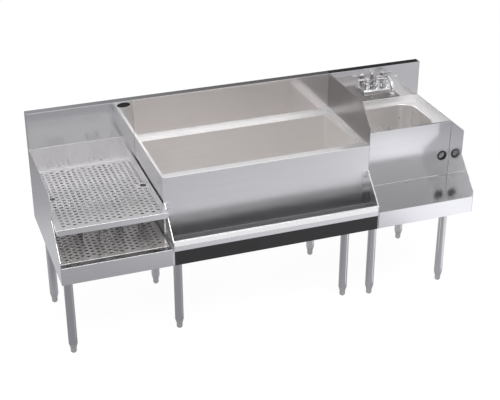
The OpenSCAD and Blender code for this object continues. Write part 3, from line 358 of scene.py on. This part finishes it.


# The top and side shares are painted shading: the tones of the faces that look up and
# sideways, as shares of the whole, lighter or darker than the rest.
def brushed_metal(name, colour, run, rough=0.20, painted_top_shading=1.0, side=1.0, contrast=0.025, bump=0.02,
                  metal=1.0, density=420.0):
    mat = bpy.data.materials.new(name)
    mat.use_nodes = True
    tree = mat.node_tree
    link = tree.links.new
    shader = tree.nodes["Principled BSDF"]
    shader.inputs["Metallic"].default_value = metal
    place = tree.nodes.new("ShaderNodeTexCoord")
    turned = tree.nodes.new("ShaderNodeMapping")
    turned.inputs["Rotation"].default_value = grain_turns[run]
    grain = tree.nodes.new("ShaderNodeGroup")
    grain.node_tree = sheet_grain
    grain.inputs["Length"].default_value = grain_length
    grain.inputs["Density"].default_value = density
    facing = tree.nodes.new("ShaderNodeGroup")
    facing.node_tree = painted_shading_masks

    def tint(share):
        return two_tones(tree, grain.outputs["Lines"], [c * share for c in colour], contrast,
                         low=0.3, high=0.7)

    shade = tint(1.0)
    for share, mask in ((painted_top_shading, "Upward"), (side, "Sideways")):
        shade = tone_mix(tree, facing.outputs[mask], shade, tint(share))
    rough_span = tree.nodes.new("ShaderNodeMapRange")
    rough_span.inputs["From Min"].default_value = 0.6
    rough_span.inputs["From Max"].default_value = 1.4
    rough_span.inputs["To Min"].default_value = rough * 0.94
    rough_span.inputs["To Max"].default_value = rough * 1.06
    bumps = tree.nodes.new("ShaderNodeBump")
    bumps.inputs["Strength"].default_value = bump
    bumps.inputs["Distance"].default_value = 0.0003
    link(place.outputs["Object"], turned.inputs["Vector"])
    link(turned.outputs[0], grain.inputs["Vector"])
    link(grain.outputs["Marks"], rough_span.inputs["Value"])
    link(grain.outputs["Lines"], bumps.inputs["Height"])
    link(shade, shader.inputs["Base Color"])
    link(rough_span.outputs[0], shader.inputs["Roughness"])
    link(bumps.outputs[0], shader.inputs["Normal"])
    return mat


# A node gets its material, and its folded or cut edges are rounded where a width is given.
def dress(node_names, mat, edge=None):
    for node_name in node_names:
        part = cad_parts[node_name]
        part.data.materials.clear()
        part.data.materials.append(mat)
        if edge is None:
            continue
        weld = part.modifiers.new("joined_corners", "WELD")
        weld.merge_threshold = 0.00002
        rounding = part.modifiers.new("rounded_edges", "BEVEL")
        rounding.width = edge
        rounding.segments = 2
        rounding.limit_method = "ANGLE"
        rounding.angle_limit = math.radians(35)
        rounding.harden_normals = True


dress(("left_end_panel",), brushed_metal("left_panel_steel", (0.78, 0.78, 0.79), "y"), edge=0.0007)
dress(("right_end_panel",), brushed_metal("right_panel_steel", (0.80, 0.79, 0.80), "y", rough=0.16),
      edge=0.0007)
# The side splash is the same steel painted much darker than the end panels, as painted shade.
dress(("sink_side_splash",), brushed_metal("side_splash_steel", (0.36, 0.35, 0.35), "y", rough=0.30),
      edge=0.0007)

# Backsplash: three lengths of stainless sheet folded forward, up and over, brushed along
# the unit and buffed, so they mirror what stands in front of them. The joints are welded
# and ground, and a folded seam runs along the drain station at the height of the bin's rim.
# The three lengths are one steel painted in three tones, the middle one lightest and warm and the right one
# darkest, and their tops painted darker: painted reflection and shade.
buffed = 0.11
dress(("backsplash_left",),
      brushed_metal("left_splash_steel", (0.84, 0.84, 0.85), "x", rough=buffed, painted_top_shading=0.8), edge=0.0005)
dress(("backsplash_center",),
      brushed_metal("middle_splash_steel", (0.92, 0.89, 0.885), "x", rough=buffed, painted_top_shading=0.6, metal=0.86),
      edge=0.0005)
dress(("backsplash_right",),
      brushed_metal("right_splash_steel", (0.70, 0.69, 0.70), "x", rough=buffed, painted_top_shading=0.6), edge=0.0005)
dress(("drain_back_wall",),
      brushed_metal("drain_wall_steel", (0.90, 0.89, 0.90), "x", rough=0.24, bump=0.0))


def ring_turns(sides):
    return [2 * math.pi * k / sides for k in range(sides)]


# A closed piece is skinned over rings of points, one after the other, with a cap at each end.
def ring_piece(name, rings, mat, body, smooth=False):
    shape = bmesh.new()
    loops = [[shape.verts.new(point) for point in ring] for ring in rings]
    for near, far in zip(loops, loops[1:]):
        for k in range(len(near)):
            ahead = (k + 1) % len(near)
            shape.faces.new((near[k], near[ahead], far[ahead], far[k]))
    shape.faces.new(loops[0])
    shape.faces.new(loops[-1])
    bmesh.ops.recalc_face_normals(shape, faces=shape.faces)
    mesh = bpy.data.meshes.new(name)
    shape.to_mesh(mesh)
    shape.free()
    if smooth:
        for face in mesh.polygons:
            face.use_smooth = len(face.vertices) == 4
    piece = bpy.data.objects.new(name, mesh)
    bpy.context.collection.objects.link(piece)
    piece.data.materials.append(mat)
    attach(piece, body)
    return piece


def tube_piece(name, path, radii, mat, body, sides):
    path = [Vector(point) for point in path]
    rings = []
    for i, (point, radius) in enumerate(zip(path, radii)):
        along = (path[min(i + 1, len(path) - 1)] - path[max(i - 1, 0)]).normalized()
        side = along.cross(Vector((1, 0, 0)) if abs(along.x) < 0.9 else Vector((0, 0, 1))).normalized()
        up = side.cross(along)
        rings.append([point + radius * (side * math.cos(turn) + up * math.sin(turn))
                      for turn in ring_turns(sides)])
    return ring_piece(name, rings, mat, body, smooth=True)


# A seam is a thin bead of metal that thins out at both ends.
def seam(name, start, end, radius, mat):
    start, end = Vector(start), Vector(end)
    steps = 6
    end_radius = radius * 0.7
    path = [start.lerp(end, i / steps) for i in range(steps + 1)]
    radii = [end_radius, *[radius] * (steps - 1), end_radius]
    tube_piece(name, path, radii, mat, "frame", sides=8)


weld_bright = brushed_metal("ground_weld", (0.92, 0.91, 0.92), "x", rough=0.35, density=900)
weld_dark = brushed_metal("weld_shadow", (0.30, 0.29, 0.29), "z", rough=0.4, density=900)
splash_left_low, splash_left_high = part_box("backsplash_left")
splash_face = splash_left_low[1]
bin_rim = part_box("bin_shell")[1][2]
fold_bead, fold_sunk = 0.0008, 0.0006
fold_y = splash_face + fold_sunk
seam("drain_wall_fold", (splash_left_low[0], fold_y, bin_rim), (splash_left_high[0], fold_y, bin_rim),
     fold_bead, weld_bright)
joint_bead, joint_end_gap = 0.0009, 0.004
joint_top = splash_left_high[2] - joint_end_gap
for side_name, joint_x, joint_low in (("left", splash_left_high[0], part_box("drain_back_wall")[0][2]),
                                      ("right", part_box("backsplash_right")[0][0], bin_rim)):
    seam("splash_joint_%s" % side_name, (joint_x, splash_face, joint_low),
         (joint_x, splash_face, joint_top), joint_bead, weld_dark)

# Badge: a small blank oval plate on the left backsplash, stamped from thin steel with a
# bright rim round a black enamelled field. It carries no words.
badge_x, badge_z = -0.4964, 0.917
badge_half_w, badge_half_h = 0.0315, 0.013
badge_rim = 0.0016
badge_sides = 48


def oval_plate(name, half_width, half_height, depth, crown, mat):
    rings = []
    for share, out in ((1.0, 0.0), (1.0, depth), (0.94, depth + crown * 0.6), (0.6, depth + crown)):
        rings.append([(badge_x + half_width * share * math.cos(turn), splash_face - out,
                       badge_z + half_height * share * math.sin(turn)) for turn in ring_turns(badge_sides)])
    ring_piece(name, rings, mat, "frame")


def enamel(name, colour, rough, metal=0.0, scale=600.0):
    mat = bpy.data.materials.new(name)
    mat.use_nodes = True
    tree = mat.node_tree
    shader = tree.nodes["Principled BSDF"]
    shader.inputs["Metallic"].default_value = metal
    place = tree.nodes.new("ShaderNodeTexCoord")
    peel = tree.nodes.new("ShaderNodeTexNoise")
    peel.inputs["Scale"].default_value = scale
    dust = tree.nodes.new("ShaderNodeTexNoise")
    dust.inputs["Scale"].default_value = 14
    dust.inputs["Detail"].default_value = 5
    rough_span = tree.nodes.new("ShaderNodeMapRange")
    rough_span.inputs["To Min"].default_value = rough * 0.7
    rough_span.inputs["To Max"].default_value = rough * 1.4
    bumps = tree.nodes.new("ShaderNodeBump")
    bumps.inputs["Strength"].default_value = 0.02
    bumps.inputs["Distance"].default_value = 0.0002
    tree.links.new(place.outputs["Object"], peel.inputs["Vector"])
    tree.links.new(place.outputs["Object"], dust.inputs["Vector"])
    tree.links.new(dust.outputs[0], rough_span.inputs["Value"])
    tree.links.new(peel.outputs[0], bumps.inputs["Height"])
    tree.links.new(two_tones(tree, dust.outputs[0], colour, swing=0.15), shader.inputs["Base Color"])
    tree.links.new(rough_span.outputs[0], shader.inputs["Roughness"])
    tree.links.new(bumps.outputs[0], shader.inputs["Normal"])
    return mat


oval_plate("badge_rim", badge_half_w, badge_half_h, depth=0.00012, crown=0.00006,
           mat=weld_bright)
oval_plate("badge_field", badge_half_w - badge_rim, badge_half_h - badge_rim, depth=0.00016, crown=0.00008,
           mat=enamel("badge_enamel", (0.012, 0.013, 0.016), 0.2))

# Drain station: a folded pan with a ledge, a perforated insert in it and a perforated
# shelf on channel legs above, all of brushed sheet. The pan's bottom and the tops of the
# shelf's rim are painted darker, as painted shade, and so are the sides of the legs. The
# shelf sheet is painted darker and the insert under it lighter than one steel would be:
# painted shade and painted light.
dress(("drain_pan",), brushed_metal("pan_steel", (0.80, 0.80, 0.81), "x", painted_top_shading=0.6), edge=0.0005)
dress(("upper_shelf_sheet",),
      brushed_metal("shelf_sheet_steel", (0.62, 0.61, 0.62), "x", rough=0.26, bump=0.0))
dress(("lower_insert_sheet",),
      brushed_metal("insert_sheet_steel", (0.90, 0.87, 0.85), "x", rough=0.19, bump=0.0, metal=0.74))
dress(("lower_insert_frame",), brushed_metal("insert_rim_steel", (0.95, 0.92, 0.90), "x", metal=0.7))
dress(("upper_shelf_frame",), brushed_metal("shelf_rim_steel", (0.86, 0.86, 0.87), "x", painted_top_shading=0.7))
dress(("shelf_legs",), brushed_metal("shelf_leg_steel", (0.54, 0.54, 0.55), "z", rough=0.3, side=0.4))

# Ice bin: a double shell of stainless sheet, brushed outside and finer inside, with foam
# between the shell and the welded well. Its front runs down behind the bottle rail.
# The shell's tops are painted a little lighter and its sides much darker, and the well's upward faces a
# little darker: painted highlight and painted shade.
dress(("bin_shell",), brushed_metal("bin_steel", (0.89, 0.89, 0.90), "x", rough=0.29, painted_top_shading=1.1, side=0.54),
      edge=0.0007)
dress(("bin_liner",), brushed_metal("well_steel", (0.92, 0.90, 0.89), "x", rough=0.32, metal=0.85, painted_top_shading=0.9),
      edge=0.0006)
dress(("bin_insulation",), enamel("foam_cells", (0.75, 0.70, 0.52), 0.9, scale=900))
screw_steel = brushed_metal("screw_steel", (0.6, 0.6, 0.61), "x", rough=0.3)
dress(("bin_side_screw",), screw_steel)

# Bottle rail: a black moulded trough with a folded steel guard along its front edge, held
# between two brackets with screws.
dress(("rail_guard",), brushed_metal("guard_steel", (0.95, 0.95, 0.96), "x", rough=0.26), edge=0.0005)
dress(("rail_left_bracket", "rail_right_bracket"), brushed_metal("bracket_steel", (0.83, 0.83, 0.84), "y"),
      edge=0.0005)
dress(("rail_screws",), screw_steel)
trough_black = enamel("trough_black", (0.02, 0.02, 0.021), 0.3)
dress(("rail_trough",), trough_black)

# Inside, the trough is painted grey, as painted light on the black that stands in for the
# light falling into it. The painted part begins in the thickness of the front wall, so that
# the outside stays black.
trough_tree = trough_black.node_tree
trough_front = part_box("rail_trough")[0][1]
painted_light_start, painted_light_full = 0.001, 0.003
painted_light_place = trough_tree.nodes.new("ShaderNodeTexCoord")
painted_light_span = trough_tree.nodes.new("ShaderNodeMapRange")
painted_light_span.inputs["From Min"].default_value = trough_front + painted_light_start
painted_light_span.inputs["From Max"].default_value = trough_front + painted_light_full
painted_light_tint = trough_tree.nodes.new("ShaderNodeMix")
painted_light_tint.data_type = "RGBA"
painted_light_tint.inputs[mix_second].default_value = (0.24, 0.24, 0.245, 1)
trough_colour = trough_tree.nodes["Principled BSDF"].inputs["Base Color"]
trough_tree.links.new(split_axes(trough_tree, painted_light_place.outputs["Object"])["Y"], painted_light_span.inputs["Value"])
trough_tree.links.new(painted_light_span.outputs[0], painted_light_tint.inputs[mix_share])
trough_tree.links.new(trough_colour.links[0].from_socket, painted_light_tint.inputs[mix_first])
trough_tree.links.new(painted_light_tint.outputs[mix_result], trough_colour)

# Sink station: a folded front with the blender shelf below it, a sunk deck and a drawn
# bowl, welded and ground together. The welds show as fine lines in the corners.
dress(("sink_front_panel",), brushed_metal("sink_front_steel", (0.80, 0.80, 0.81), "x", rough=0.16),
      edge=0.0006)
# The blender shelf's top is painted darker than its front, as painted shade.
dress(("blender_shelf",), brushed_metal("blender_shelf_steel", (0.90, 0.90, 0.91), "x", rough=0.16, painted_top_shading=0.64),
      edge=0.0006)
dress(("sink_deck",), brushed_metal("deck_steel", (0.88, 0.87, 0.87), "x", rough=0.42, metal=0.4),
      edge=0.0005)
dress(("sink_bowl",), brushed_metal("bowl_steel", (0.90, 0.88, 0.87), "x", rough=0.28, metal=0.7))
front_low, front_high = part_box("sink_front_panel")
front_y = front_low[1]
panel_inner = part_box("right_end_panel")[0][0]
corner_bead = 0.0012
fold_rise, weld_top_gap = 0.002, 0.01
fold_left_gap, fold_right_gap = 0.004, 0.003
fold_z = front_low[2] + fold_rise
seam("shelf_front_fold", (front_low[0] + fold_left_gap, front_y, fold_z),
     (panel_inner - fold_right_gap, front_y, fold_z), corner_bead, weld_bright)
seam("front_corner_weld", (panel_inner, front_y, fold_z),
     (panel_inner, front_y, front_high[2] - weld_top_gap), corner_bead, weld_dark)

# Cord grommet: a ring moulded in black rubber and pressed into the hole in the sink's
# front panel, where a cord can go through.
dress(("cord_grommet",), enamel("grommet_rubber", (0.02, 0.02, 0.021), 0.5))

# Drains: threaded waste fittings of plain steel under the pans and the sink, each held by
# a nut, with the strainer basket that lifts out of the sink's. The faucet's threaded
# inlets behind the backsplash are of the same steel.
waste_steel = brushed_metal("waste_steel", (0.66, 0.66, 0.67), "z", rough=0.3)
dress(("pan_drain", "bin_drain", "drain_nuts", "sink_lock_nut", "sink_drain_body", "strainer_basket",
       "inlet_shanks", "shank_nuts"), waste_steel)

# Faucet: a chromed casting on the backsplash with two quarter-turn levers and a swivel
# spout of bent tube, which stands in a post between them and ends in an aerator. The
# sink's tailpiece is chromed too.
chrome = brushed_metal("chrome", (0.80, 0.80, 0.81), "x", rough=0.13, contrast=0.01, bump=0.0)
dress(("faucet_body", "sink_tailpiece", "spout_nut", "left_lever", "right_lever"), chrome, edge=0.0008)
dress(("valve_bonnets", "left_valve_stem", "right_valve_stem", "left_lever_screw", "right_lever_screw"),
      chrome)

# The spout's tube rises out of its post, bends forward, runs on at a slope and bends down
# into the aerator.
spout_low, spout_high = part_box("spout")
aerator_low, aerator_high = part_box("aerator")
spout_x = (spout_low[0] + spout_high[0]) / 2
tube_r = 0.0075
tube_foot_gap, tube_end_in = 0.0005, 0.004
riser_y = spout_high[1] - tube_r
riser_foot = spout_low[2] + tube_foot_gap
riser_top = 0.884
riser_bend, riser_steps = 0.017, 8
run_length = 0.1016
slope = math.radians(20)
tip_bend, tip_steps = 0.036, 12
spout_path = [(spout_x, riser_y, riser_foot), (spout_x, riser_y, riser_top)]
for step in range(1, riser_steps + 1):
    turn = (math.pi / 2 - slope) * step / riser_steps
    spout_path.append((spout_x, riser_y - riser_bend + riser_bend * math.cos(turn),
                       riser_top + riser_bend * math.sin(turn)))
run_end = Vector(spout_path[-1]) + run_length * Vector((0, -math.cos(slope), math.sin(slope)))
tip_middle = run_end + tip_bend * Vector((0, -math.sin(slope), -math.cos(slope)))
for step in range(tip_steps + 1):
    turn = math.pi / 2 - slope + (math.pi / 2 + slope) * step / tip_steps
    spout_path.append((spout_x, tip_middle.y + tip_bend * math.cos(turn),
                       tip_middle.z + tip_bend * math.sin(turn)))
spout_path.append((spout_x, spout_path[-1][1], aerator_high[2] - tube_end_in))
spout_tube = tube_piece("spout_tube", spout_path, [tube_r] * len(spout_path), chrome, "spout_arm",
                        sides=32)
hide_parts("spout")


# The aerator is a turned ring, knurled round the middle for the fingers. Each entry of the
# profile is a radius, a height and whether the ring is knurled there.
def turned_piece(name, profile, centre, mat, body, sides, knurl_depth):
    rings = []
    for radius, height, knurled in profile:
        ring = []
        for k, turn in enumerate(ring_turns(sides)):
            reach = radius - knurl_depth * (k % 2) if knurled else radius
            ring.append((centre[0] + reach * math.cos(turn), centre[1] + reach * math.sin(turn),
                         centre[2] + height))
        rings.append(ring)
    return ring_piece(name, rings, mat, body)


aerator_r = (aerator_high[0] - aerator_low[0]) / 2
aerator_h = aerator_high[2] - aerator_low[2]
aerator_x = (aerator_low[0] + aerator_high[0]) / 2
aerator_y = (aerator_low[1] + aerator_high[1]) / 2
knurl_in = 0.004
aerator_profile = [(aerator_r * 0.62, 0.0006, False), (aerator_r * 0.78, 0, False),
                   (aerator_r * 0.9, 0.001, False), (aerator_r * 0.96, 0.002, False),
                   (aerator_r, knurl_in, True), (aerator_r, aerator_h - knurl_in, True),
                   (aerator_r * 0.94, aerator_h - 0.002, False), (aerator_r * 0.75, aerator_h, False)]
knurled_ring = turned_piece("aerator_ring", aerator_profile, (aerator_x, aerator_y, aerator_low[2]), chrome,
                            "spout_arm", sides=72, knurl_depth=0.0004)
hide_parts("aerator")

# Underframe: folded channels of galvanised sheet across the unit, a welded socket under
# each leg's place, and nine polished steel tubes with nylon plugs and screw feet.
dress(("support_channels",), brushed_metal("channel_steel", (0.60, 0.61, 0.62), "y", rough=0.4, contrast=0.1))
dress(("leg_sockets",), brushed_metal("socket_steel", (0.62, 0.62, 0.63), "z", rough=0.34))
dress(("leg_tubes",), brushed_metal("leg_steel", (0.62, 0.62, 0.63), "z", rough=0.15))
dress(("leg_plugs",), enamel("plug_nylon", (0.54, 0.54, 0.55), 0.32, metal=0.7))
dress(["foot_%d" % leg for leg in legs], enamel("foot_nylon", (0.56, 0.56, 0.57), 0.3, metal=0.7))
